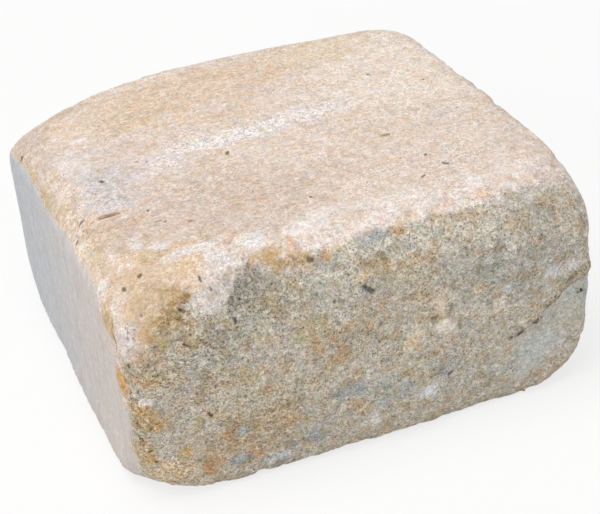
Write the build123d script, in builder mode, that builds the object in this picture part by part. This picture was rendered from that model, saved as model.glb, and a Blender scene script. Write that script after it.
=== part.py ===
from build123d import *

import os
from math import cos, hypot, pi, radians, sin, sqrt, tan

# Tumbled concrete wall block with one split face, cast as a single piece.
# Millimetres, +Z up. X runs along the split face, Y from the split face to the rear.
# The origin is at the middle of the underside, at the centre of the block's own box.

# Overall shape in plan and height
front_width = 300.0
rear_width = 290.0
rear_shift = -17.0
depth = 250.0
height = 150.0
rear_bow = 6.0

# Worn arris along each side's top and bottom edge: the inset at the flat bed
front_top_arris = 36.0
front_bottom_arris = 7.0
right_top_arris = 11.0
right_bottom_arris = 11.0
rear_top_arris = 10.0
rear_bottom_arris = 11.0
left_top_arris = 25.0
left_bottom_arris = 5.0

# Radius of each upright corner: at mid height, at the top bed and at the bottom bed
front_left_corner = (17.0, 48.0, 66.0)
front_right_corner = (16.0, 58.0, 52.0)
rear_right_corner = (16.0, 34.0, 28.0)
rear_left_corner = (7.0, 106.0, 43.0)
corner_knock_height = 39.0

# Split face: how far it swells at mid height, and its three trains of waves
split_bulge = 6.0
wave_heights = (1.5, 1.1, 0.7)
wave_lengths_x = (231.0, 117.0, 67.0)
wave_lengths_z = (190.0, -131.0, 83.0)
wave_phases = (0.9, 2.4, 4.0)
wave_fade_length = 42.0
wave_fade_height = 20.0
split_points = 23

# Heights of the sections that the block is lofted through, as shares of its height
section_shares = (0.0, 0.008, 0.03, 0.07, 0.13, 0.24, 0.4, 0.58, 0.73, 0.83, 0.9, 0.95, 0.985, 1.0)


def arris_inset(z, bottom_arris, top_arris):
    """How far a side stands back at height z because its edges are rounded off."""
    inset = 0.0
    for arris, distance in ((bottom_arris, z), (top_arris, height - z)):
        if distance < arris:
            inset += arris - sqrt(arris**2 - (arris - distance) ** 2)
    return inset


def corner_radius(z, radii):
    """The plan radius of an upright corner at height z, larger where its ends are knocked off."""
    middle, top, bottom = radii
    to_top = max(0.0, 1 - (height - z) / corner_knock_height)
    to_bottom = max(0.0, 1 - z / corner_knock_height)
    return middle + (top - middle) * to_top**2 + (bottom - middle) * to_bottom**2


def smooth_rise(share):
    """Rises from 0 to 1 without a kink as share goes from 0 to 1, and stays level outside."""
    return (1 - cos(pi * min(1.0, max(0.0, share)))) / 2


def split_relief(x, z):
    """How far the split face stands out of its plane at x and z."""
    relief = split_bulge * sin(pi * z / height)
    trains = zip(wave_heights, wave_lengths_x, wave_lengths_z, wave_phases)
    level = smooth_rise(z / wave_fade_height) * smooth_rise((height - z) / wave_fade_height)
    for swell, length_x, length_z, phase in trains:
        relief += swell * level * sin(2 * pi * (x / length_x + z / length_z) + phase)
    return relief


def crossing(line_a, line_b):
    """The point where two lines cross, each given as a point and a direction."""
    (ax, ay), (ux, uy) = line_a
    (bx, by), (vx, vy) = line_b
    along = ((bx - ax) * vy - (by - ay) * vx) / (ux * vy - uy * vx)
    return (ax + ux * along, ay + uy * along)


def side_lines(z):
    """The sides at height z, anticlockwise from the split face, as points and directions.

    The rear face counts as two sides, which lean back from its middle and are bowed into one.
    """
    corners = [
        (-front_width / 2, -depth / 2),
        (front_width / 2, -depth / 2),
        (rear_shift + rear_width / 2, depth / 2),
        (rear_shift, depth / 2 + 2 * rear_bow),
        (rear_shift - rear_width / 2, depth / 2),
    ]
    insets = [
        arris_inset(z, front_bottom_arris, front_top_arris),
        arris_inset(z, right_bottom_arris, right_top_arris),
        arris_inset(z, rear_bottom_arris, rear_top_arris),
        arris_inset(z, rear_bottom_arris, rear_top_arris),
        arris_inset(z, left_bottom_arris, left_top_arris),
    ]
    lines = []
    for (ax, ay), (bx, by), inset in zip(corners, corners[1:] + corners[:1], insets):
        length = hypot(bx - ax, by - ay)
        ux, uy = (bx - ax) / length, (by - ay) / length
        lines.append(((ax - uy * inset, ay + ux * inset), (ux, uy)))
    return lines


def rounded_corner(line_in, line_out, radius):
    """Start, middle and end of the arc that rounds the corner between two sides."""
    (ux, uy), (vx, vy) = line_in[1], line_out[1]
    x, y = crossing(line_in, line_out)
    half_turn = radians(Vector(ux, uy).get_angle(Vector(vx, vy))) / 2
    setback = radius * tan(half_turn)
    bisector = Vector(vx - ux, vy - uy).normalized()
    to_middle = radius / cos(half_turn) - radius
    return (
        (x - ux * setback, y - uy * setback),
        (x + bisector.X * to_middle, y + bisector.Y * to_middle),
        (x + vx * setback, y + vy * setback),
    )


def split_line(start, end, z):
    """Points of the split face at height z, from one corner's arc to the other's."""
    span = end[0] - start[0]
    points = []
    for step in range(split_points + 1):
        x = start[0] + span * step / split_points
        y = start[1] + (end[1] - start[1]) * step / split_points
        from_end = min(x - start[0], end[0] - x)
        points.append((x, y - split_relief(x, z) * smooth_rise(from_end / wave_fade_length)))
    return points


with BuildPart() as block:
    for share in section_shares:
        z = height * share
        front, right, rear_start, rear_end, left = side_lines(z)
        front_left = rounded_corner(left, front, corner_radius(z, front_left_corner))
        front_right = rounded_corner(front, right, corner_radius(z, front_right_corner))
        rear_right = rounded_corner(right, rear_start, corner_radius(z, rear_right_corner))
        rear_left = rounded_corner(rear_end, left, corner_radius(z, rear_left_corner))
        with BuildSketch(Plane.XY.offset(z)) as section:
            with BuildLine():
                ThreePointArc(*front_left)
                Spline(*split_line(front_left[2], front_right[0], z), tangents=(front[1], front[1]))
                ThreePointArc(*front_right)
                Line(front_right[2], rear_right[0])
                ThreePointArc(*rear_right)
                Spline(rear_right[2], rear_left[0], tangents=(rear_start[1], rear_end[1]))
                ThreePointArc(*rear_left)
                Line(rear_left[2], front_left[0])
            make_face()
    loft()

box = block.part.bounding_box()
block_piece = Pos(-box.center().X, -box.center().Y, -box.min.Z) * block.part
block_piece.label = "wall_block"

os.makedirs("parts", exist_ok=True)
export_step(block_piece, "parts/wall_block.step")
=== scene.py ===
import logging
import math
from dataclasses import dataclass
from enum import Enum

import bpy
import numpy as np
from mathutils import Matrix, Vector


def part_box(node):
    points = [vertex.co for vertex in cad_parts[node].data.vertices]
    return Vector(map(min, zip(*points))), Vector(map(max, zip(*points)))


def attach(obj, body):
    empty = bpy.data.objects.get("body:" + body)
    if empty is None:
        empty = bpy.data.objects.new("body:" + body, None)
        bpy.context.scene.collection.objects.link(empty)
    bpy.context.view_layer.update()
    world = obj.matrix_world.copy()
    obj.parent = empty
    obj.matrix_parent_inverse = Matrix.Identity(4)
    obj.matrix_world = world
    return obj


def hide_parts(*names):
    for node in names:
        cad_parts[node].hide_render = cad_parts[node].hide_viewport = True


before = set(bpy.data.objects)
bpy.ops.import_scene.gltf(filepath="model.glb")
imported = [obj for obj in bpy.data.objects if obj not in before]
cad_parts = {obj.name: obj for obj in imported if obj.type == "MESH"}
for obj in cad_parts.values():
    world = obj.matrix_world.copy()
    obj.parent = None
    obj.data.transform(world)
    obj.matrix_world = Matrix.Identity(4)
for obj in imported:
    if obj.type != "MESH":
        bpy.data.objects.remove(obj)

# A tumbled wall block of dry-cast concrete. Its beds and three moulded sides are fairly
# smooth, its split face is sandy and broken, and its edges are bruised from tumbling.
# Lengths are in metres unless a name ends in _mm, and colours are sRGB hex.

log = logging.getLogger("wall_block")
Array = np.ndarray
Tree = bpy.types.NodeTree
Socket = bpy.types.NodeSocket


def linear(colour: str) -> tuple[float, float, float]:
    """Turns an sRGB hex colour into linear light.

    Args:
        colour: six hex digits after a hash.

    Returns:
        Red, green and blue from 0 to 1.
    """
    parts = [int(colour[i : i + 2], 16) / 255 for i in (1, 3, 5)]
    return tuple(p / 12.92 if p <= 0.04045 else ((p + 0.055) / 1.055) ** 2.4 for p in parts)


def smooth(low: float, high: float, value: Array) -> Array:
    """Rises from 0 at low to 1 at high along the curve t * t * (3 - 2 t)."""
    t = np.clip((value - low) / (high - low), 0.0, 1.0)
    return t * t * (3 - 2 * t)


def placed(name: str, data: bpy.types.ID) -> bpy.types.Object:
    """Makes an object that shows the data, and links it to the scene."""
    thing = bpy.data.objects.new(name, data)
    bpy.context.scene.collection.objects.link(thing)
    return thing


def emptied(owner: bpy.types.Material | bpy.types.World) -> Tree:
    """The node tree of a material or world, with nothing in it yet."""
    owner.use_nodes = True
    owner.node_tree.nodes.clear()
    return owner.node_tree


def add(
    tree: Tree, kind: str, inputs: dict[str | int, object] | None = None, **settings: object
) -> bpy.types.Node:
    """Adds one node to a tree.

    Args:
        tree: the node tree that takes it.
        kind: the node's type name, without its leading ShaderNode.
        inputs: for each input socket, by name or number, an output socket that feeds it, a
            node whose first output feeds it, or a constant that is set on it.
        settings: the node's own properties.

    Returns:
        The new node.
    """
    node = tree.nodes.new("ShaderNode" + kind)
    for name, value in settings.items():
        setattr(node, name, value)
    for name, value in (inputs or {}).items():
        if isinstance(value, bpy.types.Node):
            value = value.outputs[0]
        if isinstance(value, Socket):
            tree.links.new(value, node.inputs[name])
        else:
            node.inputs[name].default_value = value
    return node


@dataclass(frozen=True)
class GradientNoise:
    """A smooth random field in space, with a first layer from about -1 to 1."""

    seed: int
    bump_mm: float
    layers: int

    def at(self, points_mm: Array) -> Array:
        """Adds layers, each half as strong and twice as fine as the one before.

        Args:
            points_mm: N by 3 places.

        Returns:
            N values.
        """
        total = np.zeros(len(points_mm))
        for layer in range(self.layers):
            cells = points_mm / self.bump_mm * 2.0**layer + 17.3 * layer
            total += self.one_layer(cells, self.seed + layer) / 2.0**layer
        return total

    def one_layer(self, points: Array, seed: int) -> Array:
        """Blends the slopes held at the eight corners of each point's unit cell.

        Args:
            points: N by 3 places, in cells.
            seed: the layer's own seed.

        Returns:
            N values. Each corner's value is the dot product of its random unit slope with
            the way from the corner to the point, faded by 6 t^5 - 15 t^4 + 10 t^3.
        """
        rng = np.random.default_rng(seed)
        order = rng.permutation(256)
        slopes = rng.normal(size=(256, 3))
        slopes /= np.linalg.norm(slopes, axis=1, keepdims=True)
        cell = np.floor(points).astype(np.int64)
        inside = points - cell
        fade = inside**3 * (inside * (inside * 6 - 15) + 10)
        total = np.zeros(len(points))
        for corner in np.ndindex(2, 2, 2):
            x, y, z = (cell + corner).T
            slope = slopes[order[(order[(order[x & 255] + y) & 255] + z) & 255]]
            weight = np.prod(np.where(np.array(corner, bool), fade, 1 - fade), axis=1)
            total += weight * np.einsum("ij,ij->i", slope, inside - corner)
        return total * 1.6


class Region(Enum):
    """The surfaces of the block, by how they were made."""

    SPLIT = "broken open by the splitter"
    MOULDED = "slid against the steel mould"
    BED = "struck off or cast on the pallet"
    WORN = "rounded off by tumbling"


class Face(Enum):
    """The sides that small marks sit on. The value flattens distances across the side."""

    TOP = (1.0, 1.0, 0.25)
    FRONT = (1.0, 0.25, 1.0)
    LEFT = (0.25, 1.0, 1.0)


@dataclass(frozen=True)
class Trace:
    """A line across one side, as heights over distances, both in millimetres."""

    along_mm: tuple[float, ...]
    at_mm: tuple[float, ...]

    def read(self, along: Array) -> Array:
        """The line's height at each distance, straight between its points."""
        return np.interp(along, self.along_mm, self.at_mm)


# Where the split face's dark break begins below the bruised front edge: z over x
BREAK_LINE = Trace(
    (-140, -129, -122, -115, -108, -102, -97, -92, -86, -80, -74)
    + (-69, -61, -54, -42, -26, 20, 46, 76, 98, 114, 130, 150),
    (112, 119, 129, 137, 140, 138, 133, 130, 129, 132, 138)
    + (144, 147, 146, 143, 143, 144, 145, 144, 147, 147, 146, 143),
)
# Upper edge of the smooth left side: z over y
LEFT_TOP_LINE = Trace(
    (-78, -61, -47, -18, 9, 31, 50, 72, 99, 134),
    (134, 136, 133, 136, 130, 129, 132, 132, 126, 121),
)
# Front edge of the smooth left side: y over z
LEFT_FRONT_LINE = Trace(
    (0, 23, 42, 60, 72, 78, 90, 107, 117, 121, 128, 134),
    (-101, -107, -112, -114, -113, -106, -104, -105, -101, -90, -85, -78),
)
# The ledge at the lower right of the split face: z over x
LEDGE_LINE = Trace(
    (88, 94, 103, 109, 116, 119, 130, 134, 142), (54, 55, 53, 58, 59, 68, 71, 76, 82)
)


@dataclass(frozen=True)
class Patch:
    """A stain, a bruise or a patch of painted shade at one place of the surface, in millimetres.

    Its calm is the share of the grit that it smooths away, or brings out if negative.
    """

    place_mm: tuple[float, float, float]
    reach_mm: tuple[float, float, float]
    colour: str
    strength: float
    calm: float = 0.0

    def cover(self, points_mm: Array, warp: Array) -> Array:
        """How much of the patch's colour each point takes.

        Args:
            points_mm: N by 3 places.
            warp: N values of noise that make the patch's outline ragged.

        Returns:
            N shares. They fall from the patch's strength to 0 around an ellipsoid of its
            reach.
        """
        away = np.linalg.norm((points_mm - self.place_mm) / self.reach_mm, axis=1)
        return self.strength * (1 - smooth(0.45, 1.15, away + 0.4 * warp))


@dataclass(frozen=True)
class Dent:
    """A chip knocked out of the surface, or a lump if its depth is negative."""

    place_mm: tuple[float, float, float]
    reach_mm: tuple[float, float, float]
    depth_mm: float

    def drop(self, points_mm: Array) -> Array:
        """How deep each point sinks: the depth in the middle, fading to 0 at the reach."""
        away = np.linalg.norm((points_mm - self.place_mm) / self.reach_mm, axis=1)
        return self.depth_mm * (1 - smooth(0.35, 1.0, away))


@dataclass(frozen=True)
class Mark:
    """A small spot at its start, or a stroke from start to end, on one side."""

    side: Face
    width_mm: float
    start_mm: tuple[float, float, float]
    end_mm: tuple[float, float, float] | None = None


STAINS = (
    # Top bed, duller towards the split face, tan towards the rear left, pale at the right
    Patch((-70, -50, 150), (95, 48, 40), "#d5c2b3", 0.8),
    Patch((-110, 10, 150), (55, 60, 40), "#dac9bd", 0.7),
    Patch((100, 70, 150), (75, 75, 40), "#efe2d5", 0.8),
    Patch((-30, 95, 150), (100, 28, 40), "#dfc5a9", 0.6),
    Patch((-85, 75, 150), (46, 22, 40), "#dec6a9", 0.6),
    Patch((60, 108, 150), (50, 24, 40), "#e0cdb2", 0.5),
    Patch((-20, 52, 150), (40, 10, 30), "#e3c8ac", 0.45),
    Patch((20, 5, 150), (50, 8, 30), "#e6d1c0", 0.45),
    # Pale band with specks across the bed, and blue-white bruises at its left
    Patch((-20, 22, 150), (62, 11, 30), "#efeae7", 0.75, -0.7),
    Patch((30, 30, 150), (34, 9, 30), "#f0ebe8", 0.65, -0.6),
    Patch((-80, 10, 150), (24, 16, 30), "#e5dddb", 0.6, -0.3),
    Patch((-112, 8, 150), (22, 20, 30), "#d3cdcc", 0.85),
    Patch((-118, -14, 150), (18, 18, 30), "#d5cfce", 0.85),
    Patch((-128, 38, 149), (20, 22, 20), "#e2d9d4", 0.7, 0.2),
    Patch((-119, 62, 150), (10, 4, 12), "#f1edec", 0.85),
    Patch((-112, 70, 150), (9, 4, 12), "#ebe0d8", 0.6),
    Patch((60, -20, 150), (40, 20, 30), "#dfcdb9", 0.35),
    # Worn edge above the smooth left side, ochre with tan
    Patch((-149, 22, 137), (6, 20, 7), "#c8b592", 0.8),
    Patch((-144, 0, 139), (9, 12, 10), "#dccab2", 0.75),
    Patch((-150, 58, 136), (5, 15, 5), "#d2bb98", 0.8),
    Patch((-145, 92, 140), (18, 24, 16), "#d0c1b5", 0.85),
    Patch((-142, 52, 145), (14, 20, 10), "#d5c6bb", 0.8),
    Patch((-142, 33, 145), (7, 8, 7), "#d8c4a6", 0.6),
    Patch((-122, 112, 145), (22, 14, 12), "#cfbca8", 0.7),
    Patch((-142, -18, 142), (10, 10, 12), "#dfcdb9", 0.7),
    Patch((-125, 89, 147), (9, 4, 10), "#d6b07a", 0.5),
    # Knocked top left corner, peach to ochre
    Patch((-131, -48, 148), (18, 17, 16), "#d3bea8", 0.9),
    Patch((-120, -52, 150), (16, 14, 12), "#d3bfae", 0.7),
    Patch((-139, -66, 142), (12, 14, 14), "#dcc6aa", 0.75),
    Patch((-142, -45, 139), (7, 9, 9), "#efe2d0", 0.9),
    Patch((-118, -98, 145), (32, 24, 16), "#d5bda0", 0.85, 0.25),
    Patch((-113, -80, 150), (20, 9, 10), "#d6be9f", 0.8),
    Patch((-92, -98, 148), (16, 10, 12), "#dfc5a5", 0.8),
    Patch((-124, -112, 137), (24, 16, 14), "#cfb799", 0.85, 0.2),
    Patch((-108, -111, 141), (13, 9, 9), "#c5ab82", 0.65),
    Patch((-89, -80, 150), (17, 4, 8), "#dfc0a0", 0.7),
    Patch((-119, -121, 126), (18, 14, 11), "#c7ad82", 0.7),
    Patch((-128, -119, 116), (14, 14, 12), "#d3bb9a", 0.7),
    # White bruises of the corner and of the front edge
    Patch((-115, -67, 150), (5, 7, 8), "#e7e4e5", 0.9),
    Patch((-104, -76, 150), (8, 4, 8), "#e6e1e0", 0.85),
    Patch((-96, -88, 150), (13, 4, 8), "#e7e4e5", 0.9),
    Patch((-80, -86, 150), (14, 4, 8), "#ece3de", 0.85),
    Patch((-90, -118, 136), (15, 9, 10), "#d5ccc6", 0.95),
    Patch((-77, -98, 149), (8, 7, 8), "#e4dcd7", 0.9),
    Patch((-79, -112, 141), (7, 8, 12), "#cbc1ba", 0.95),
    Patch((-84, -106, 146), (8, 6, 8), "#e0d3c9", 0.7),
    Patch((-55, -92, 150), (9, 8, 8), "#ebe8e8", 0.9),
    Patch((-18, -94, 149), (19, 9, 8), "#efe6e2", 0.9),
    Patch((-4, -86, 150), (14, 6, 8), "#ede3dd", 0.7),
    Patch((39, -90, 150), (26, 9, 8), "#e9dfd7", 0.8),
    Patch((65, -93, 150), (18, 9, 8), "#e7dcd3", 0.75),
    Patch((91, -92, 150), (18, 9, 8), "#eadfd6", 0.8),
    Patch((120, -87, 149), (20, 10, 8), "#e9ddd3", 0.8),
    Patch((15, -110, 144), (13, 5, 6), "#b0b2b0", 0.85),
    # Worn upright edge at the left
    Patch((-142, -84, 137), (6, 7, 9), "#f0e6e2", 0.95),
    Patch((-140, -104, 133), (7, 7, 8), "#ddd5d0", 0.9),
    Patch((-138, -116, 120), (10, 10, 14), "#e2d6ce", 0.95),
    Patch((-133, -120, 111), (9, 9, 9), "#d7c7ba", 0.85),
    Patch((-144, -100, 126), (4, 10, 12), "#cdb58a", 0.85),
    Patch((-144, -109, 90), (6, 11, 12), "#d9aa69", 0.95),
    Patch((-138, -121, 75), (10, 8, 6), "#dfb37a", 0.8, -0.4),
    Patch((-129, -125, 62), (8, 8, 5), "#ceab77", 0.75, -0.4),
    Patch((-136, -120, 66), (10, 9, 9), "#c4a778", 0.75, -0.4),
    Patch((-133, -123, 82), (7, 8, 5), "#e8dfd6", 0.95),
    Patch((-127, -124, 24), (26, 12, 13), "#dcc4a2", 0.8, -0.4),
    Patch((-138, -119, 40), (9, 12, 16), "#ccb48c", 0.8, -0.4),
)

# Stains that stop at the edge of the split face, with painted shade in the hollow under its rounded
# top edge and beside its chips
SPLIT_STAINS_AND_SHADE = (
    # Painted shade in the hollow under the rounded front edge, at its left, where that edge
    # overhangs
    Patch((-68, -118, 134), (23, 16, 17), "#948f82", 0.85, -0.5),
    Patch((-88, -128, 112), (20, 14, 18), "#aea999", 0.7, -0.4),
    Patch((-50, -124, 128), (26, 14, 13), "#afa894", 0.7, -0.3),
    Patch((-112, -119, 132), (12, 9, 10), "#b29a6e", 0.75, -0.5),
    Patch((-103, -126, 120), (11, 9, 9), "#b7a584", 0.6, -0.4),
    Patch((-125, -122, 127), (3.5, 8, 4), "#cbb57a", 0.75),
    Patch((-119, -125, 118), (3, 8, 4), "#bda66a", 0.75),
    Patch((-110, -127, 92), (20, 12, 20), "#b5b0a5", 0.7, -0.5),
    Patch((-92, -130, 86), (16, 12, 14), "#bfb198", 0.6, -0.5),
    Patch((-73, -132, 85), (12, 12, 8), "#c9b586", 0.5),
    Patch((-83, -129, 40), (36, 16, 26), "#c2ae90", 0.7, -0.35),
    Patch((-73, -125, 21), (8, 8, 6), "#d2a673", 0.7),
    Patch((-60, -132, 51), (9, 8, 8), "#d0ab84", 0.6),
    Patch((-47, -130, 43), (9, 8, 6), "#d0b291", 0.65),
    Patch((-89, -130, 46), (4, 8, 5), "#b58a58", 0.65),
    Patch((-99, -125, 20), (10, 8, 9), "#c9a273", 0.65),
    Patch((-114, -126, 36), (6, 8, 5), "#cdb47c", 0.65),
    Patch((-60, -131, 62), (44, 14, 16), "#c2b497", 0.5, -0.5),
    Patch((-81, -130, 45), (5, 8, 5), "#c0c6c8", 0.9),
    Patch((-82, -126, 20), (9, 8, 5), "#b4bbbd", 0.9),
    Patch((-58, -125, 13), (9, 8, 4), "#dddbd9", 0.9),
    Patch((-34, -128, 24), (10, 8, 8), "#a9aeae", 0.8),
    Patch((-50, -126, 21), (6, 8, 6), "#a5a9a8", 0.8),
    Patch((-12, -130, 52), (12, 10, 9), "#a9b2b2", 0.8),
    Patch((16, -132, 43), (18, 10, 13), "#b6bcbb", 0.75),
    Patch((46, -129, 47), (16, 10, 12), "#adb3ae", 0.7),
    Patch((-16, -116, 137), (11, 10, 6), "#a9aca8", 0.6),
    Patch((-28, -125, 125), (9, 10, 8), "#b0b0a6", 0.4),
    Patch((11, -126, 121), (12, 10, 9), "#b3b4ac", 0.5),
    Patch((60, -128, 118), (34, 12, 16), "#b4b1a3", 0.5),
    Patch((-8, -131, 94), (26, 12, 14), "#c3b292", 0.55, -0.2),
    Patch((-34, -132, 104), (14, 10, 12), "#c2b58f", 0.4),
    Patch((-32, -132, 89), (8, 8, 6), "#d9c0a0", 0.6),
    Patch((-18, -131, 78), (12, 8, 7), "#c7ad86", 0.65),
    Patch((-6, -130, 36), (9, 8, 7), "#ccb596", 0.75),
    Patch((33, -130, 48), (13, 8, 5), "#cfbd9b", 0.7),
    Patch((27, -125, 122), (22, 10, 13), "#c6b698", 0.5),
    Patch((9, -121, 132), (12, 8, 6), "#a88f69", 0.75),
    Patch((2, -124, 128), (9, 6, 2.5), "#d9c9a9", 0.85),
    Patch((40, -130, 100), (16, 10, 16), "#cabb9f", 0.5),
    Patch((30, -130, 65), (20, 12, 10), "#ccc3ae", 0.5),
    Patch((95, -129, 105), (40, 14, 28), "#b3b1a6", 0.6),
    Patch((120, -126, 42), (15, 12, 11), "#c3c9ca", 0.5, 0.2),
    Patch((136, -124, 120), (10, 12, 7), "#cfc4ae", 0.7),
    Patch((114, -120, 133), (24, 12, 9), "#aba79d", 0.5),
    Patch((144, -121, 56), (6, 10, 10), "#c9c4b4", 0.5),
    Patch((80, -128, 30), (30, 14, 16), "#c2c2b8", 0.6),
    Patch((-127, -124, 98), (16, 12, 18), "#c6b391", 0.75, -0.5),
    Patch((-137, -120, 88), (6, 8, 8), "#d6cbb6", 0.7),
    # Fresh chips and pale grains of the split face, with painted shadow beside the chips
    Patch((48, -129, 94), (4.5, 8, 7), "#e4d6c5", 0.9, 0.5),
    Patch((50, -131, 80), (8, 8, 6), "#f0e4d6", 0.9, 0.5),
    Patch((30, -129, 76), (6, 8, 8), "#e6d8bd", 0.85, 0.3),
    # Painted shadow between the two upper chips and along their right edges
    Patch((45, -131, 86), (6, 8, 2.5), "#9a8c72", 0.85),
    Patch((54, -131, 91), (2.5, 8, 5), "#958a76", 0.75),
    Patch((60, -131, 80), (2.5, 8, 6), "#9d937f", 0.7),
    Patch((72, -130, 100), (4.5, 8, 2.8), "#e9d1aa", 0.85, 0.2),
    Patch((86, -130, 83), (6, 8, 9), "#ece4da", 0.85, 0.3),
    Patch((89, -131, 94), (4.5, 8, 3), "#d3dade", 0.85, 0.2),
    Patch((103, -128, 64), (5, 8, 3), "#e8e4d8", 0.9, 0.6),
    Patch((128, -125, 93), (11, 10, 8), "#dee3e5", 0.9, 0.2),
    Patch((39, -129, 33), (7, 8, 7), "#e3e7e7", 0.95, 0.5),
    Patch((3, -129, 23), (8, 8, 6), "#e0dedb", 0.9, 0.4),
)

# Spots along the break under the bruised edge
BREAK_STAINS = (
    Patch((-101, -115, 139), (4, 8, 4), "#ab9066", 0.9),
    Patch((-48, -106, 146), (12, 7, 5), "#ccae80", 0.85),
    Patch((-36, -112, 142), (15, 7, 5), "#bfa47c", 0.85),
    Patch((-33, -101, 148), (2.5, 7, 4), "#deb08a", 0.8),
    Patch((-16, -113, 141), (4, 6, 4), "#d0a67e", 0.8),
    Patch((29, -112, 142), (4.5, 5, 6), "#c9ac84", 0.8),
    Patch((88, -104, 149), (6, 6, 5), "#e2bd9a", 0.8),
)

DENTS = (
    Dent((-14, -128, 0), (7, 12, 6), 3.2),
    Dent((2, -128, 0), (10, 10, 4), 1.2),
    Dent((-60, -126, 135), (40, 16, 14), 1.6),
    Dent((-118, -104, 146), (34, 26, 16), 1.2),
    Dent((41, -131, 87), (11, 10, 3), 1.3),
    Dent((64, -131, 60), (18, 10, 9), 1.1),
    Dent((-20, -131, 70), (30, 12, 16), 0.9),
    Dent((-105, -128, 78), (20, 12, 14), 1.0),
    Dent((12, -124, 132), (16, 12, 5), 1.4),
    Dent((-74, 118, 150), (52, 16, 9), 2.2),
    Dent((140, -60, 150), (16, 22, 10), 1.8),
    Dent((-144, -112, 22), (12, 16, 18), 2.6),
    Dent((75, -126, 8), (46, 12, 12), 1.6),
    Dent((149, -120, 74), (16, 16, 24), -2.4),
    Dent((136, 12, 150), (16, 30, 10), -1.2),
    Dent((-149, -15, 8), (14, 62, 24), -1.8),
    Dent((-146, -78, 14), (14, 40, 26), -2.0),
)

DARK_MARKS = (
    Mark(Face.TOP, 1.7, (-36, 3, 150), (-35, 5, 150)),
    Mark(Face.TOP, 1.6, (82, 58, 150)),
    Mark(Face.TOP, 1.8, (-116, 7, 150), (-115.5, 6, 150)),
    Mark(Face.TOP, 1.1, (112, 35, 150)),
    # Painted shadow of the small step where the knocked corner's scar begins on the top bed, in two
    # strokes
    Mark(Face.TOP, 0.9, (-127, -33, 150), (-119, -33.5, 150)),
    Mark(Face.TOP, 1.2, (-139, -25.5, 146), (-136, -24.5, 147)),
    Mark(Face.TOP, 1.8, (-151, 84, 135), (-151, 83, 135)),
    Mark(Face.TOP, 1.2, (-93, -53, 150)),
    Mark(Face.TOP, 1.5, (-143, -34, 139)),
    Mark(Face.TOP, 1.4, (-7, -66, 150)),
    Mark(Face.TOP, 1.1, (61, -75, 150), (63, -74, 150)),
    Mark(Face.TOP, 1.5, (79, -66, 150), (81, -68, 150)),
    Mark(Face.TOP, 1.3, (73, -53, 150), (74, -52, 150)),
    Mark(Face.TOP, 1.6, (-121, -93, 146), (-120, -92.5, 146)),
    Mark(Face.TOP, 1.8, (-131, -95, 143), (-131, -96, 143)),
    Mark(Face.TOP, 1.1, (-84, 17, 150)),
    Mark(Face.TOP, 1.0, (-55, 26, 150)),
    Mark(Face.TOP, 1.1, (-99, -37, 150), (-99, -38, 150)),
    Mark(Face.FRONT, 2.3, (1, -126, 121), (5.5, -127, 116.5)),
    Mark(Face.FRONT, 1.6, (-27, -114, 140), (-25, -114, 140)),
    Mark(Face.FRONT, 1.1, (-90, -109, 144), (-90, -109, 143)),
    Mark(Face.FRONT, 1.1, (-86, -115, 139)),
    Mark(Face.FRONT, 1.3, (-106, -119, 134), (-104, -120, 133)),
    Mark(Face.FRONT, 1.2, (-108, -127, 116), (-105, -127, 114)),
    Mark(Face.FRONT, 1.2, (-77, -126, 123), (-77, -126, 121)),
    Mark(Face.FRONT, 1.2, (-127, -116, 134)),
    Mark(Face.FRONT, 1.5, (-99, -129, 64), (-98, -129, 62)),
    Mark(Face.FRONT, 1.1, (-136, -123, 43), (-134, -124, 44)),
    Mark(Face.FRONT, 1.1, (-133, -124, 36), (-132, -124, 35)),
    Mark(Face.FRONT, 1.2, (-23, -128, 17)),
    Mark(Face.FRONT, 1.1, (-43, -127, 23)),
    Mark(Face.FRONT, 1.3, (-49, -125, 6)),
    Mark(Face.FRONT, 1.2, (-18, -127, 117)),
    Mark(Face.FRONT, 1.5, (53, -128, 40), (55, -128, 41)),
    # Dark spots strung along the ledge line: painted shade under its lip
    Mark(Face.FRONT, 2.0, (101, -127, 54), (104, -127, 54.5)),
    Mark(Face.FRONT, 1.3, (95, -127, 53), (96, -127, 53)),
    Mark(Face.FRONT, 1.5, (111, -127, 59.5), (113, -127, 61)),
    Mark(Face.FRONT, 1.5, (120, -127, 68), (121.5, -127, 69.5)),
    Mark(Face.FRONT, 1.2, (125.5, -126, 74), (126, -126, 74.5)),
    Mark(Face.LEFT, 0.9, (-144, -104, 128), (-144, -110, 121)),
    Mark(Face.LEFT, 0.8, (-144, -110, 121), (-144, -112, 114)),
)

BROWN_MARKS = (
    # Painted shadow of the same small step on the top bed, brown along its middle
    Mark(Face.TOP, 2.2, (-128, -31, 150), (-116, -32, 150)),
    Mark(Face.TOP, 2.6, (59.5, -20, 150), (62.5, -20, 150)),
    Mark(Face.TOP, 1.0, (-129, 83, 150), (-125, 84, 150)),
    Mark(Face.TOP, 1.3, (-100, 73, 150)),
    Mark(Face.TOP, 1.8, (-80, -59, 150), (-79, -59, 150)),
    Mark(Face.TOP, 1.1, (-91, 19, 150), (-89, 19, 150)),
    Mark(Face.TOP, 1.0, (-98, -51, 150), (-95, -51, 150)),
    Mark(Face.TOP, 1.0, (-103, 38, 150)),
    Mark(Face.TOP, 1.0, (-138, 26, 147)),
    Mark(Face.FRONT, 1.8, (-101, -115, 139), (-99, -115, 139)),
    Mark(Face.FRONT, 1.0, (-103, -121, 131), (-101, -122, 131)),
)

WHITE_MARKS = (
    Mark(Face.TOP, 1.5, (6, -104, 147), (9, -106, 147)),
    Mark(Face.LEFT, 1.0, (-150, 9, 82), (-149, -3, 58)),
    Mark(Face.LEFT, 0.8, (-150, 4, 104), (-150, 6, 92)),
    Mark(Face.LEFT, 1.4, (-148, -84, 74), (-148, -90, 62)),
)


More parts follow.
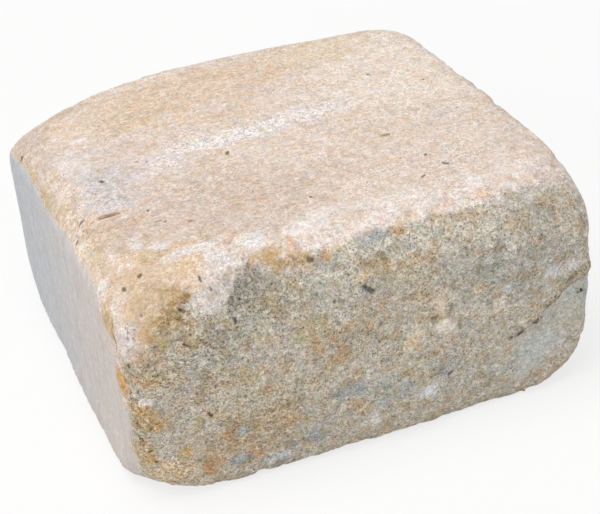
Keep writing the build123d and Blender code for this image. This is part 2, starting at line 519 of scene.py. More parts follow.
@dataclass
class Camera:
    """The photograph's viewpoint, fitted to the block's outline in it."""

    azimuth_deg: float = -18.49
    elevation_deg: float = 34.19
    roll_deg: float = 4.19
    distance: float = 1.0126
    lens_mm: float = 92.96
    aim: tuple[float, float, float] = (0.0065, 0.0004, 0.075)
    shift_x: float = 0.0003
    shift_y: float = -0.0306

    def build(self) -> bpy.types.Object:
        """Makes the camera and gives it to the scene.

        Returns:
            The camera. It stands back from its aim by azimuth, from -Y towards +X, and
            elevation above the floor, and is rolled about its own line of sight.
        """
        turn, lift = math.radians(self.azimuth_deg), math.radians(self.elevation_deg)
        flat = math.cos(lift)
        back = Vector((math.sin(turn) * flat, -math.cos(turn) * flat, math.sin(lift)))
        data = bpy.data.cameras.new("camera")
        data.lens = self.lens_mm
        data.sensor_width = 36.0
        data.shift_x = self.shift_x
        data.shift_y = self.shift_y
        camera = placed("camera", data)
        look = back.to_track_quat("Z", "Y").to_matrix().to_4x4()
        roll = Matrix.Rotation(math.radians(-self.roll_deg), 4, "Z")
        place = Matrix.Translation(Vector(self.aim) + back * self.distance)
        camera.matrix_world = place @ look @ roll
        bpy.context.scene.camera = camera
        return camera


@dataclass
class Studio:
    """A white floor, an even white surround and three large soft lamps."""

    floor_half: float = 4.0
    floor_glow: float = 0.72
    surround_strength: float = 0.5
    key_power: float = 21.0
    side_power: float = 7.0
    low_power: float = 2.6
    lamps_aim: float = 0.08

    def floor(self) -> None:
        """Makes the floor: a flat square at the height of the block's underside."""
        half = self.floor_half
        u, v = np.meshgrid((-half, half), (-half, half))
        corners = np.stack([u.ravel(), v.ravel(), np.zeros(4)], axis=1)
        mesh = bpy.data.meshes.new("floor")
        mesh.from_pydata(corners.tolist(), [], [(0, 1, 3, 2)])
        floor = placed("floor", mesh)
        mesh.materials.append(self.floor_paint())

    def floor_paint(self) -> bpy.types.Material:
        """Matt white studio board: a pale even sheet that still takes the block's shadow."""
        material = bpy.data.materials.new("matt white studio board")
        tree = emptied(material)
        seen = self.seen(tree, "Is Camera Ray", "Is Glossy Ray")
        share = add(tree, "Math", {0: seen, 1: self.floor_glow}, operation="MULTIPLY")
        paint = add(tree, "BsdfDiffuse", {"Color": (*linear("#f4f3f1"), 1.0), "Roughness": 1.0})
        glow = add(tree, "Emission", {"Color": (1.0, 1.0, 1.0, 1.0), "Strength": 1.0})
        mixed = add(tree, "MixShader", {0: share, 1: paint, 2: glow})
        add(tree, "OutputMaterial", {"Surface": mixed})
        return material

    def surround(self) -> None:
        """White to the camera and in reflections, and an even soft light on the block."""
        world = bpy.data.worlds.new("surround")
        bpy.context.scene.world = world
        tree = emptied(world)
        seen = self.seen(tree, "Is Camera Ray", "Is Glossy Ray", "Is Transmission Ray")
        tone = (*linear("#fbfcff"), 1.0)
        light = add(tree, "Background", {"Color": tone, "Strength": self.surround_strength})
        white = add(tree, "Background", {"Color": (1.0, 1.0, 1.0, 1.0), "Strength": 1.0})
        mixed = add(tree, "MixShader", {0: seen, 1: light, 2: white})
        add(tree, "OutputWorld", {"Surface": mixed})

    def seen(self, tree: Tree, *kinds: str) -> Socket:
        """Tells which rays look straight at a surface, or see it in another one.

        Args:
            tree: the tree of the surface's material or of the world.
            kinds: the names of the kinds of ray.

        Returns:
            A socket that is 1 for a ray of one of the kinds and 0 for any other.
        """
        rays = add(tree, "LightPath").outputs
        found = rays[kinds[0]]
        for kind in kinds[1:]:
            found = add(tree, "Math", {0: found, 1: rays[kind]}, operation="MAXIMUM").outputs[0]
        return found

    def lamp(self, name: str, place: Vector, size: float, power: float, colour: str) -> None:
        """Adds a square soft lamp that faces the block's middle.

        Args:
            name: the lamp's name.
            place: where it stands.
            size: the length of its side.
            power: its power in watts.
            colour: its colour.
        """
        data = bpy.data.lights.new(name, "AREA")
        data.shape = "SQUARE"
        data.size = size
        data.energy = power
        data.color = linear(colour)
        lamp = placed(name, data)
        away = place - Vector((0, 0, self.lamps_aim))
        turn = away.to_track_quat("Z", "Y").to_matrix().to_4x4()
        lamp.matrix_world = Matrix.Translation(place) @ turn

    def build(self) -> None:
        """Makes the floor, the surround and the lamps. The low one is the table's bounce."""
        self.floor()
        self.surround()
        for name, place, size, power, colour in (
            ("lamp over the block", (-0.5, -0.1, 1.9), 1.3, self.key_power, "#ffffff"),
            ("lamp at the left", (-1.7, -0.9, 0.9), 1.2, self.side_power, "#ffffff"),
            ("low lamp in front", (0.45, -1.2, 0.12), 0.9, self.low_power, "#dfeaff"),
        ):
            self.lamp(name, Vector(place), size, power, colour)


@dataclass(frozen=True)
class Mottle:
    """Soft stains of one tint, between the noise levels where one begins and is full."""

    apart_mm: float
    begins: float
    full: float
    shift: float
    tint: str

    def share(self, tree: Tree, place: Socket) -> Socket:
        """How much of the stains' tint each point takes.

        Args:
            tree: the material's tree.
            place: Object coordinates in millimetres.

        Returns:
            A share from 0 to 1. The shift keeps two layers of stains from falling together.
        """
        away = (self.shift, self.shift * 0.7, -self.shift)
        moved = add(tree, "Mapping", {"Vector": place, "Location": away})
        scale = 1 / self.apart_mm
        noise = add(tree, "TexNoise", {0: moved, "Scale": scale, "Detail": 1.0, "Roughness": 0.6})
        levels = {0: noise, 1: self.begins, 2: self.full}
        return add(tree, "MapRange", levels, interpolation_type="SMOOTHSTEP").outputs[0]


@dataclass(frozen=True)
class Specks:
    """Round specks of one tint, one or none in each cell of a random pattern.

    The radii are shares of the cell, and empty is the share of cells that hold no speck.
    The specks show more as the grit rises from its first level to its second.
    """

    cell_mm: float
    empty: float
    radii: tuple[float, float]
    grit: tuple[float, float]
    strength: float
    tint: str

    def share(self, tree: Tree, place: Socket) -> Socket:
        """How far each point lies in a speck.

        Args:
            tree: the material's tree.
            place: Object coordinates in millimetres.

        Returns:
            A share that is 1 in a speck and 0 outside, with a soft rim.
        """
        cells = add(tree, "TexVoronoi", {"Vector": place, "Scale": 1 / self.cell_mm})
        tone = add(tree, "SeparateColor", {0: cells.outputs["Color"]})
        small, large = self.radii
        radius = add(tree, "MapRange", {0: tone, 1: self.empty, 2: 1.0, 3: small, 4: large})
        gap = add(tree, "Math", {0: cells, 1: radius}, operation="SUBTRACT")
        held = add(tree, "Math", {0: tone, 1: self.empty}, operation="GREATER_THAN")
        return add(tree, "MapRange", {0: gap, 1: 0.04, 2: -0.06, 4: held}).outputs[0]


@dataclass(frozen=True)
class MarkPaint:
    """The paint of one group of marks, which fades in from their edges."""

    marks: tuple[Mark, ...]
    fade: float
    strength: float
    tint: str
    blend: str = "MULTIPLY"

    def share(self, tree: Tree, place: Socket, waver: Socket) -> Socket:
        """How much of the group's tint each point takes.

        Args:
            tree: the material's tree.
            place: Object coordinates in millimetres.
            waver: noise in millimetres that makes the marks' outlines uneven.

        Returns:
            A share that is 1 inside a mark and 0 outside. A mark is every point within its
            width of the stroke from its start to its end, measured with the side's own
            flattening.
        """
        covered: Socket | None = None
        for mark in self.marks:
            flat = Vector(mark.side.value)
            start = Vector(mark.start_mm) * flat
            from_start = {0: place, 1: tuple(flat), 2: tuple(-start)}
            away = add(tree, "VectorMath", from_start, operation="MULTIPLY_ADD")
            if mark.end_mm:
                stroke = Vector(mark.end_mm) * flat - start
                along = {0: away, 1: tuple(stroke / stroke.length_squared)}
                along = add(tree, "VectorMath", along, operation="DOT_PRODUCT").outputs["Value"]
                held = add(tree, "Clamp", {0: along})
                back = {0: tuple(-stroke), "Scale": held}
                back = add(tree, "VectorMath", back, operation="SCALE")
                away = add(tree, "VectorMath", {0: away, 1: back}, operation="ADD")
            gap = add(tree, "VectorMath", {0: away}, operation="LENGTH").outputs["Value"]
            uneven = add(tree, "Math", {0: gap, 1: waver}, operation="ADD")
            edge = {0: uneven, 1: mark.width_mm, 2: mark.width_mm * (1 - self.fade)}
            inside = add(tree, "MapRange", edge).outputs[0]
            if covered is None:
                covered = inside
            else:
                both = {0: covered, 1: inside}
                covered = add(tree, "Math", both, operation="MAXIMUM").outputs[0]
        return covered


@dataclass(frozen=True)
class DryCastConcrete:
    """Dry-cast concrete, split and tumbled: a matt, sandy, mottled stone.

    The mix is damp sand, pale cement and fine gravel, coloured in two tones. It shows as
    a speckle of dark, pale, ochre and blue-grey grains about a millimetre across over a
    broad stain, with small open pores and no gloss.
    """

    sand_mm: float = 0.75
    grit_mm: float = 1.5
    clump_mm: float = 3.2
    warm: Mottle = Mottle(9.0, 0.47, 0.66, 3.0, "#f6dcb8")
    cool: Mottle = Mottle(7.2, 0.47, 0.66, 211.0, "#dbe3ea")
    rose: Mottle = Mottle(5.4, 0.48, 0.64, 407.0, "#fbe9ef")
    olive: Mottle = Mottle(6.3, 0.5, 0.66, 613.0, "#eaecd4")
    pale: Mottle = Mottle(4.5, 0.55, 0.7, 97.0, "#f4efe9")
    pale_strength: float = 0.22
    bed_streak_mm: tuple[float, float, float] = (14.0, 1.6, 6.0)
    bed_streak_turn: float = math.radians(-8)
    side_streak_mm: tuple[float, float, float] = (5.0, 5.0, 60.0)
    dust: Specks = Specks(1.7, 0.4, (0.12, 0.29), (0.0, 1.0), 0.85, "#7a7064")
    pores: Specks = Specks(6.5, 0.55, (0.05, 0.11), (0.3, 0.9), 0.9, "#645c53")
    dark: MarkPaint = MarkPaint(DARK_MARKS, 0.6, 0.75, "#4f4740")
    brown: MarkPaint = MarkPaint(BROWN_MARKS, 0.9, 0.85, "#b4935a")
    white: MarkPaint = MarkPaint(WHITE_MARKS, 0.8, 0.5, "#efeae6", "MIX")
    rust: str = "#efc88f"
    rust_strength: float = 0.08
    waver_mm: float = 0.3
    # Painted shade under the ledge's lip: its colour, and how far below the ledge line it is
    # centred
    ledge_shade: str = "#5c5041"
    ledge_shade_mm: float = 1.5
    bump_depth: float = 0.0004
    roughness: float = 0.95

    def tinted(
        self,
        tree: Tree,
        colour: Socket,
        share: Socket,
        amount: Socket | float,
        tint: str,
        blend: str = "MULTIPLY",
    ) -> Socket:
        """Lays a tint over a colour.

        Args:
            tree: the material's tree.
            colour: the colour so far.
            share: how much of the tint each point takes.
            amount: what the share is multiplied by.
            tint: the tint.
            blend: the way in which the tint is mixed in.

        Returns:
            The new colour's socket.
        """
        factor = add(tree, "Math", {0: share, 1: amount}, operation="MULTIPLY")
        layers = {0: factor, 6: colour, 7: (*linear(tint), 1.0)}
        return add(tree, "Mix", layers, data_type="RGBA", blend_type=blend).outputs[2]

    def streaked(
        self, tree: Tree, place: Socket, turn: float, size_mm: tuple[float, float, float]
    ) -> Socket:
        """A change in tone, from about -0.1 to 0.1, drawn out into streaks.

        Args:
            tree: the material's tree.
            place: Object coordinates in millimetres.
            turn: the streaks' turn about the upright axis, in radians.
            size_mm: how far apart the blotches are along each turned axis.

        Returns:
            The change's socket.
        """
        scale = tuple(1 / size for size in size_mm)
        lay = {"Vector": place, "Rotation": (0.0, 0.0, turn), "Scale": scale}
        turned = add(tree, "Mapping", lay)
        noise = add(tree, "TexNoise", {0: turned, "Scale": 1.0, "Detail": 4.0, "Roughness": 0.7})
        return add(tree, "MapRange", {0: noise, 1: 0.25, 2: 0.75, 3: -0.1, 4: 0.1}).outputs[0]

    def material(self) -> bpy.types.Material:
        """Builds the material.

        Returns:
            A material that reads the block's painted attributes "ground", "grit", "ochre",
            "bed", "moulded", "below_ledge" and "at_ledge", and Object coordinates turned
            to millimetres.
        """
        material = bpy.data.materials.new("dry-cast concrete, split and tumbled")
        tree = emptied(material)
        space = {0: add(tree, "TexCoord").outputs["Object"], "Scale": 1000.0}
        place = add(tree, "VectorMath", space, operation="SCALE").outputs[0]
        colour = add(tree, "Attribute", attribute_name="ground").outputs["Color"]
        grit, ochre, bed, moulded, below, at_ledge = (
            add(tree, "Attribute", attribute_name=name).outputs["Fac"]
            for name in ("grit", "ochre", "bed", "moulded", "below_ledge", "at_ledge")
        )

        # Stains of iron and cement in the mix, a few millimetres to two centimetres wide
        for mottle in (self.warm, self.cool, self.rose, self.olive):
            share = mottle.share(tree, place)
            colour = self.tinted(tree, colour, share, ochre, mottle.tint)
        share = self.pale.share(tree, place)
        colour = self.tinted(tree, colour, share, self.pale_strength, self.pale.tint, "MIX")

        # Drag streaks: along the split face on the bed, upright on the moulded sides
        bed_streaks = self.streaked(tree, place, self.bed_streak_turn, self.bed_streak_mm)
        side_streaks = self.streaked(tree, place, 0.0, self.side_streak_mm)
        dragged = add(tree, "Math", {0: bed_streaks, 1: bed, 2: 1.0}, operation="MULTIPLY_ADD")
        smoothed = add(tree, "Math", {0: moulded, 1: 0.9}, operation="MULTIPLY")
        wiped = {0: side_streaks, 1: smoothed, 2: dragged}
        wiped = add(tree, "Math", wiped, operation="MULTIPLY_ADD")
        colour = add(tree, "VectorMath", {0: colour, "Scale": wiped}, operation="SCALE").outputs[0]

        # Sand grains, grit and clumps of them, each with its own tone, about a middle of 0
        cells = [
            add(tree, "TexVoronoi", {"Vector": place, "Scale": 1 / size_mm}).outputs["Color"]
            for size_mm in (self.sand_mm, self.grit_mm)
        ]
        sand_tone, grit_tone = (add(tree, "SeparateColor", {0: cell}) for cell in cells)
        clump = {"Vector": place, "Scale": 1 / self.clump_mm, "Detail": 2.0, "Roughness": 0.6}
        clumps = add(tree, "TexNoise", clump)
        both = add(tree, "Math", {0: grit_tone, 1: 0.6, 2: sand_tone}, operation="MULTIPLY_ADD")
        clumped = add(tree, "Math", {0: clumps, 1: 0.9, 2: both}, operation="MULTIPLY_ADD")
        centred = add(tree, "Math", {0: clumped, 1: 1.25}, operation="SUBTRACT")
        contrast = add(tree, "MapRange", {0: grit, 2: 2.0, 3: 0.05, 4: 1.3})
        swing = add(tree, "Math", {0: centred, 1: contrast, 2: 1.0}, operation="MULTIPLY_ADD")
        colour = add(tree, "VectorMath", {0: colour, "Scale": swing}, operation="SCALE").outputs[0]
        rusty = {0: grit_tone.outputs[1], 1: 0.8, 2: 0.97, 4: self.rust_strength}
        rusty = add(tree, "MapRange", rusty).outputs[0]
        colour = self.tinted(tree, colour, rusty, ochre, self.rust)

        # Dark specks: many small ones, then sparse pores of about a millimetre
        for specks in (self.dust, self.pores):
            share = specks.share(tree, place)
            low, high = specks.grit
            shown = {0: grit, 1: low, 2: high, 4: specks.strength}
            shown = add(tree, "MapRange", shown).outputs[0]
            colour = self.tinted(tree, colour, share, shown, specks.tint)
        pores = share

        # Marks that stand at their own places on this block; some dark and brown strokes are
        # painted shadow along small steps and the ledge
        wave = add(tree, "TexNoise", {"Vector": place, "Scale": 0.9, "Detail": 1.0})
        waver = {0: wave, 3: -self.waver_mm, 4: self.waver_mm}
        waver = add(tree, "MapRange", waver).outputs[0]
        paints = (self.dark, self.brown, self.white)
        covers = [paint.share(tree, place, waver) for paint in paints]
        for paint, cover in zip(paints, covers):
            colour = self.tinted(tree, colour, cover, paint.strength, paint.tint, paint.blend)

        # Painted shade: a dark ragged line under the ledge's lip, where its shadow falls, broken up
        # by grains
        frayed = add(tree, "Math", {0: waver, 1: 5.0, 2: below}, operation="MULTIPLY_ADD")
        off = add(tree, "Math", {0: frayed, 1: self.ledge_shade_mm}, operation="SUBTRACT")
        off = add(tree, "Math", {0: off}, operation="ABSOLUTE")
        line = add(tree, "MapRange", {0: off, 1: 1.6, 2: 0.5, 4: at_ledge}).outputs[0]
        kept = add(tree, "MapRange", {0: clumps, 1: 0.38, 2: 0.5, 3: 0.2, 4: 0.95}).outputs[0]
        colour = self.tinted(tree, colour, line, kept, self.ledge_shade)

        # Relief of the grains, with the pores and the dark marks sunk in
        sunk = add(tree, "Math", {0: pores, 1: -0.8, 2: centred}, operation="MULTIPLY_ADD")
        height = add(tree, "Math", {0: covers[0], 1: -1.6, 2: sunk}, operation="MULTIPLY_ADD")
        relief = add(tree, "MapRange", {0: grit, 3: 0.03, 4: 0.6})
        rise = {"Strength": relief, "Distance": self.bump_depth, "Height": height}
        finish = {
            "Base Color": colour,
            "Roughness": self.roughness,
            "IOR": 1.45,
            "Specular IOR Level": 0.3,
            "Normal": add(tree, "Bump", rise),
        }
        add(tree, "OutputMaterial", {"Surface": add(tree, "BsdfPrincipled", finish)})
        return material


@dataclass(frozen=True)
class Grain:
    """How strongly the three widths of noise raise a kind of surface, in millimetres."""

    broad: float
    middle: float
    fine: float
    level: float

    def height(self, broad: Array, middle: Array, fine: Array) -> Array:
        """Adds up the noises, each by its own weight, around the surface's level."""
        return self.broad * broad + self.middle * middle + self.fine * fine + self.level


@dataclass(frozen=True)
class Tones:
    """The concrete's broad colours, by the kind of surface."""

    bed: str = "#e4d4c7"
    split: str = "#cac2b2"
    worn: str = "#d9c4a6"
    bruise: str = "#eee5e0"
    # The smooth left side's tones at its front and rear; the bluish cast of the rear one is a
    # painted reflection of the cool surround
    left_front: str = "#d2c9c3"
    left_rear: str = "#c3c7cc"
    other_sides: str = "#c8c6c2"
    rubble: str = "#ab9c84"
    facet: str = "#c6c7bf"


@dataclass
class WallBlock:
    """The block's own skin: the cast solid with its sandy relief, chips and stains, and a few
    patches of painted shade.

    The columns are counted on the front, right, rear and left side. The noise of the split
    face is drawn out along its lay, by the share drawn_out.
    """

    node: str = "wall_block"
    columns: tuple[int, int, int, int] = (240, 80, 64, 136)
    rings_under: int = 14
    rings_side: int = 116
    rings_top: int = 50
    margin_mm: float = 4.0
    lay: tuple[float, float, float] = (0.87, 0.0, 0.49)
    drawn_out: float = 0.4
    split_grain: Grain = Grain(0.42, 0.4, 0.45, -0.7)
    worn_grain: Grain = Grain(0.36, 0.4, 0.46, -0.7)
    plain_grain: Grain = Grain(0.12, 0.08, 0.0, -0.15)
    foot_grain: Grain = Grain(0.0, 0.5, 0.5, -0.5)
    ledge_mm: float = 2.6
    ledge_rag_mm: float = 1.1
    nicks: int = 220
    nick_seed: int = 12
    nick_reach_mm: tuple[float, float] = (2.2, 6.5)
    nick_depths: tuple[float, float] = (0.12, 0.28)
    nick_limit_mm: float = 1.4
    outlines: GradientNoise = GradientNoise(71, 7.0, 3)
    ledge_rag: GradientNoise = GradientNoise(31, 6.0, 3)
    broad: GradientNoise = GradientNoise(11, 21.0, 2)
    middle: GradientNoise = GradientNoise(31, 7.0, 2)
    fine: GradientNoise = GradientNoise(51, 3.2, 2)
    bruises: GradientNoise = GradientNoise(91, 8.0, 3)
    patches: GradientNoise = GradientNoise(151, 26.0, 2)
    tones: Tones = Tones()

    def box_mm(self) -> tuple[Array, Array]:
        """Lowest and highest corner of the cast solid, in millimetres."""
        low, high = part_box(self.node)
        return np.array(low) * 1000, np.array(high) * 1000

    def wrapping_grid(self) -> Array:
        """A box a little larger than the solid, on a grid of rings and columns.

        Returns:
            Rings by columns by 3, in millimetres. The columns are numbered round the plan
            outline. The rings are numbered from the underside's middle out to its edge, up
            the sides and in over the top to its middle.
        """
        low, high = self.box_mm()
        low, high = low - self.margin_mm, high + self.margin_mm
        middle = (low + high) / 2
        corners = np.array(
            [(low[0], low[1]), (high[0], low[1]), (high[0], high[1]), (low[0], high[1])]
        )
        sides = [
            start + (end - start) * np.linspace(0, 1, count, endpoint=False)[:, None]
            for start, end, count in zip(corners, np.roll(corners, -1, axis=0), self.columns)
        ]
        outline = np.concatenate(sides)
        under = np.linspace(0, 1, self.rings_under, endpoint=False)
        side = np.linspace(0, 1, self.rings_side)
        top = 1 - np.linspace(0, 1, self.rings_top + 1)[1:]
        reach = np.concatenate([under, np.ones(self.rings_side), top])
        rise = np.concatenate([np.zeros(self.rings_under), side, np.ones(self.rings_top)])
        grid = np.zeros((len(reach), len(outline), 3))
        grid[:, :, :2] = middle[:2] + reach[:, None, None] * (outline - middle[:2])
        grid[:, :, 2] = low[2] + (high[2] - low[2]) * rise[:, None]
        return grid

    def spaced(self, grid: Array) -> Array:
        """Slides each column's points along it, so that they lie closer where it matters.

        Args:
            grid: rings by columns by 3, on the solid.

        Returns:
            The same columns, with a point about every 1.2 mm up the sides and over the
            edges, every 3 mm on the top bed and every 12 mm on the underside.
        """
        steps = np.linalg.norm(np.diff(grid, axis=0), axis=2)
        height = (grid[1:, :, 2] + grid[:-1, :, 2]) / 2
        density = 0.1 + 0.9 * smooth(0.0, 1.5, height) - 0.62 * smooth(149.0, 149.9, height)
        way = np.concatenate([np.zeros((1, grid.shape[1])), np.cumsum(steps * density, axis=0)])
        even = np.linspace(0, 1, len(grid))[:, None] * way[-1]
        moved = np.empty_like(grid)
        for column in range(grid.shape[1]):
            for axis in range(3):
                values = grid[:, column, axis]
                moved[:, column, axis] = np.interp(even[:, column], way[:, column], values)
        return moved

    def faces(self, rings: int, columns: int) -> list[list[int]]:
        """Faces of the grid: a fan at each pole and quads between neighbouring rings."""
        column = np.arange(columns)
        after = (column + 1) % columns
        ring = 1 + np.arange(rings - 3)[:, None] * columns
        quads = np.stack(
            [ring + column, ring + after, ring + columns + after, ring + columns + column], axis=2
        ).reshape(-1, 4)
        last = 1 + (rings - 3) * columns
        base_fan = np.stack([np.zeros_like(column), 1 + after, 1 + column], axis=1)
        tip = 1 + (rings - 2) * columns
        top_fan = np.stack([np.full_like(column, tip), last + column, last + after], axis=1)
        return base_fan.tolist() + quads.tolist() + top_fan.tolist()

    def on_solid(self, grid: Array, faces: list[list[int]]) -> Array:
        """Moves each point to the nearest point of the cast solid's surface.

        Args:
            grid: rings by columns by 3, around the solid.
            faces: the faces that join the grid's points.

        Returns:
            Rings by columns by 3, on the solid.
        """
        mesh = bpy.data.meshes.new("wrapping")
        mesh.from_pydata((self.joined(grid) / 1000).tolist(), [], faces)
        wrapping = placed("wrapping", mesh)
        wrap = wrapping.modifiers.new("onto the solid", "SHRINKWRAP")
        wrap.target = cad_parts[self.node]
        wrap.wrap_method = "NEAREST_SURFACEPOINT"
        graph = bpy.context.evaluated_depsgraph_get()
        moved = wrapping.evaluated_get(graph).data
        flat = np.empty(len(moved.vertices) * 3, np.float32)
        moved.vertices.foreach_get("co", flat)
        bpy.data.objects.remove(wrapping)
        bpy.data.meshes.remove(mesh)
        points = flat.reshape(-1, 3).astype(float) * 1000
        wrapped = np.empty_like(grid)
        wrapped[0] = points[0]
        wrapped[-1] = points[-1]
        wrapped[1:-1] = points[1:-1].reshape(wrapped[1:-1].shape)
        return wrapped

    def joined(self, grid: Array) -> Array:
        """The grid's points as one list, with each pole's ring as a single point."""
        return np.concatenate([grid[0, :1], grid[1:-1].reshape(-1, 3), grid[-1, :1]])

    def outward(self, points_mm: Array, faces: list[list[int]]) -> Array:
        """Unit normals at the points, from the faces around each."""
        mesh = bpy.data.meshes.new("normals")
        mesh.from_pydata((points_mm / 1000).tolist(), [], faces)
        flat = np.empty(len(points_mm) * 3, np.float32)
        mesh.vertices.foreach_get("normal", flat)
        bpy.data.meshes.remove(mesh)
        return flat.reshape(-1, 3).astype(float)

    def shares(self, points_mm: Array, normals: Array) -> dict[Region, Array]:
        """How much each point belongs to each kind of surface.

        Args:
            points_mm: N by 3 places on the solid.
            normals: N unit normals.

        Returns:
            N shares for each region. The lines read off the block bound the split face
            and the smooth left side, and the way a point faces bounds the rest.
        """
        x, y, z = points_mm.T
        warp = self.outlines.at(points_mm)
        in_left = np.minimum(LEFT_TOP_LINE.read(y) - z, y - LEFT_FRONT_LINE.read(z))
        left = smooth(-0.7, 0.7, in_left + 0.8 * warp) * smooth(0.25, 0.6, -normals[:, 0])
        other = smooth(0.9, 0.985, np.maximum(normals[:, 0], normals[:, 1]))
        below = BREAK_LINE.read(x) - z + 1.5 * warp
        loose = 1 + 3.5 * (1 - smooth(-104, -90, x))
        split = smooth(-1.0, 1.0, below / loose) * smooth(0.25, 0.5, -normals[:, 1])
        split = split * (1 - left)
        bed = smooth(0.9, 0.99, np.abs(normals[:, 2])) * (1 - split)
        moulded = np.maximum(left, other * (1 - split))
        worn = 1 - np.maximum(np.maximum(split, bed), moulded)
        return {
            Region.SPLIT: split,
            Region.MOULDED: moulded,
            Region.BED: bed,
            Region.WORN: worn,
        }

    def below_ledge(self, points_mm: Array) -> Array:
        """How far each point lies below the ragged line of the ledge, in millimetres."""
        x, _, z = points_mm.T
        return LEDGE_LINE.read(x) - z + self.ledge_rag_mm * self.ledge_rag.at(points_mm)

    def relief_mm(self, points_mm: Array, normals: Array, shares: dict[Region, Array]) -> Array:
        """How far the surface stands out from the cast solid.

        Args:
            points_mm: N by 3 places on the solid.
            normals: N unit normals.
            shares: each point's kind of surface.

        Returns:
            N heights. The split face is layered noise drawn out along its lay, with a
            ledge that drops at its line and fades out below it. Chips and lumps add to
            it, and the flat faces are all but plain above their rough foot.
        """
        x, _, z = points_mm.T
        lay = np.array(self.lay)
        along = points_mm @ lay
        drawn = points_mm - self.drawn_out * along[:, None] * lay
        noises = self.broad.at(drawn), self.middle.at(drawn), self.fine.at(points_mm)
        foot = 1 - smooth(4, 14, z)
        plain = self.plain_grain.height(*noises) + foot * self.foot_grain.height(*noises)
        relief = self.split_grain.height(*noises) * shares[Region.SPLIT]
        relief += self.worn_grain.height(*noises) * shares[Region.WORN]
        relief += plain * np.maximum(shares[Region.BED], shares[Region.MOULDED])
        below = self.below_ledge(points_mm)
        ledge = self.ledge_mm * smooth(-1.0, 1.6, below) * (1 - smooth(3, 36, below))
        ledge *= smooth(92, 106, x) * smooth(0.2, 0.7, -normals[:, 1])
        dents = sum(dent.drop(points_mm) for dent in DENTS)
        return relief - ledge - dents - self.nicks_mm(points_mm, shares)

    def nicks_mm(self, points_mm: Array, shares: dict[Region, Array]) -> Array:
        """How deep the small nicks of tumbling cut each point.

        Args:
            points_mm: N by 3 places on the solid.
            shares: each point's kind of surface.

        Returns:
            N depths. Each nick is centred on a random point of the worn edges, or of the
            split face where it nears the underside or the right side. Its depth is a
            random share of its reach, and fades to 0 there. Where nicks overlap, their
            depths add up along a curve that levels off at the limit.
        """
        x, _, z = points_mm.T
        edge = np.maximum(1 - smooth(2, 12, z), smooth(138, 147, x))
        chance = np.clip(shares[Region.WORN] + shares[Region.SPLIT] * edge, 0, None)
        rng = np.random.default_rng(self.nick_seed)
        places = points_mm[rng.choice(len(points_mm), self.nicks, p=chance / chance.sum())]
        reaches = rng.uniform(*self.nick_reach_mm, self.nicks)
        depths = reaches * rng.uniform(*self.nick_depths, self.nicks)
        total = np.zeros(len(points_mm))
        for place, reach, depth in zip(places, reaches, depths):
            away = np.linalg.norm(points_mm - place, axis=1) / reach
            total += depth * (1 - smooth(0.1, 1.0, away))
        return self.nick_limit_mm * np.tanh(total / self.nick_limit_mm)

    def build(self) -> bpy.types.Object:
        """Builds and dresses the block.

        Returns:
            The finished piece, which stands for the cast solid.
        """
        grid = self.wrapping_grid()
        faces = self.faces(*grid.shape[:2])
        grid = self.on_solid(self.spaced(self.on_solid(grid, faces)), faces)
        points = self.joined(grid)
        normals = self.outward(points, faces)
        shares = self.shares(points, normals)
        shaped = points + normals * self.relief_mm(points, normals, shares)[:, None]
        low, high = self.box_mm()
        shaped = np.clip(shaped, low, high)

        mesh = bpy.data.meshes.new("concrete_block")
        mesh.from_pydata((shaped / 1000).tolist(), [], faces)
        mesh.polygons.foreach_set("use_smooth", np.ones(len(mesh.polygons), bool))
        self.paint(mesh, points, shares)
        mesh.materials.append(DryCastConcrete().material())
        block = placed("concrete_block", mesh)
        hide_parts(self.node)
        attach(block, "root")
        return block

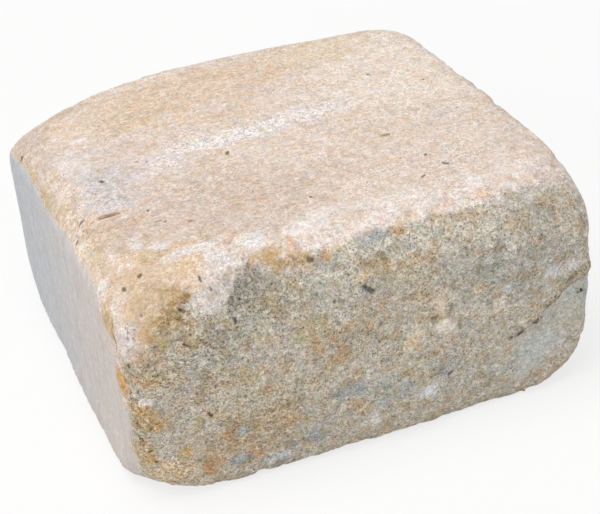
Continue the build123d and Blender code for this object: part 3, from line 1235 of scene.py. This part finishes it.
    def paint(
        self, mesh: bpy.types.Mesh, points_mm: Array, shares: dict[Region, Array]
    ) -> None:
        """Writes what the material reads of each point.

        These are its broad colour, its grit and ochre, how far it lies below the ledge,
        and how much it belongs to the ledge, to a bed and to a moulded side.

        Args:
            mesh: the block's mesh.
            points_mm: N by 3 places on the solid.
            shares: each point's kind of surface.
        """
        x, y, z = points_mm.T
        split, moulded, bed, worn = (shares[region] for region in Region)
        tones = self.tones
        warp = self.outlines.at(points_mm)
        # The smooth left side fades from its front tone to the bluish rear tone, which holds a
        # painted reflection of the cool surround
        side = self.laid(np.array(linear(tones.left_rear)), smooth(-120, 110, -y), tones.left_front)
        side = self.laid(side, smooth(-140, -120, x), tones.other_sides)
        colour = self.laid(np.array(linear(tones.bed)), split, tones.split)
        tanned = 0.3 * worn * smooth(-0.2, 0.3, warp) * (y > -60)
        colour = self.laid(colour, tanned, tones.worn)
        band = (np.abs(z - 148) < 4) * smooth(76, 88, -y) * (1 - smooth(108, 114, -y))
        bruised = 0.7 * band * smooth(-0.05, 0.3, self.bruises.at(points_mm))
        colour = self.laid(colour, bruised, tones.bruise)
        calm = np.zeros(len(points_mm))
        # The patches of stain and bruise, with the painted shade and shadow of the split face among
        # them
        for stains, within in ((STAINS, 1.0), (SPLIT_STAINS_AND_SHADE, split), (BREAK_STAINS, 1.0)):
            for stain in stains:
                cover = stain.cover(points_mm, warp) * within
                colour = self.laid(colour, cover, stain.colour)
                calm += cover * (stain.calm - calm)
        below = self.below_ledge(points_mm)
        at_ledge = smooth(92, 104, x) * split
        rubble = 0.6 * at_ledge * (1 - smooth(2.5, 6.5, np.abs(below + 3)))
        facet = 0.8 * at_ledge * smooth(0.3, 2.0, below) * (1 - smooth(30, 44, below))
        calm += rubble * (-0.8 - calm)
        calm += facet * (0.5 - calm)
        colour = self.laid(colour, rubble, tones.rubble)
        colour = self.laid(colour, facet, tones.facet)
        colour = colour * (1 - moulded[:, None]) + side * moulded[:, None]
        patchy = 0.16 * self.patches.at(points_mm) * (1 - moulded)
        gritty = 0.5 + 0.45 * split + 0.08 * worn - 0.44 * moulded + patchy
        stained = 0.32 + 0.2 * split + 0.04 * worn - 0.17 * moulded
        rgba = np.ones((len(points_mm), 4))
        rgba[:, :3] = colour
        ground = mesh.attributes.new("ground", "FLOAT_COLOR", "POINT")
        ground.data.foreach_set("color", rgba.astype(np.float32).ravel())
        layers = {
            "grit": gritty * (1 - calm),
            "ochre": stained * (1 - np.clip(calm, 0, 1)),
            "below_ledge": below,
            "at_ledge": at_ledge * (1 - 0.5 * smooth(124, 136, x)),
            "bed": bed,
            "moulded": moulded,
        }
        for name, values in layers.items():
            layer = mesh.attributes.new(name, "FLOAT", "POINT")
            layer.data.foreach_set("value", values.astype(np.float32))

    def laid(self, colour: Array, share: Array, over: str) -> Array:
        """Lays a hex colour over one linear colour or N of them, by N shares."""
        return colour * (1 - share[:, None]) + np.array(linear(over)) * share[:, None]


def main() -> None:
    """Builds the block, the studio and the camera, and reports each piece."""
    logging.basicConfig(level=logging.INFO, format="%(name)s: %(message)s")
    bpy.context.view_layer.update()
    bpy.context.scene.view_settings.view_transform = "Standard"
    block = WallBlock().build()
    log.info("%s: %d faces", block.name, len(block.data.polygons))
    Studio().build()
    log.info("studio: floor, surround and three lamps")
    camera = Camera().build()
    log.info("%s: at the photograph's viewpoint", camera.name)


if __name__ == "__main__":
    main()
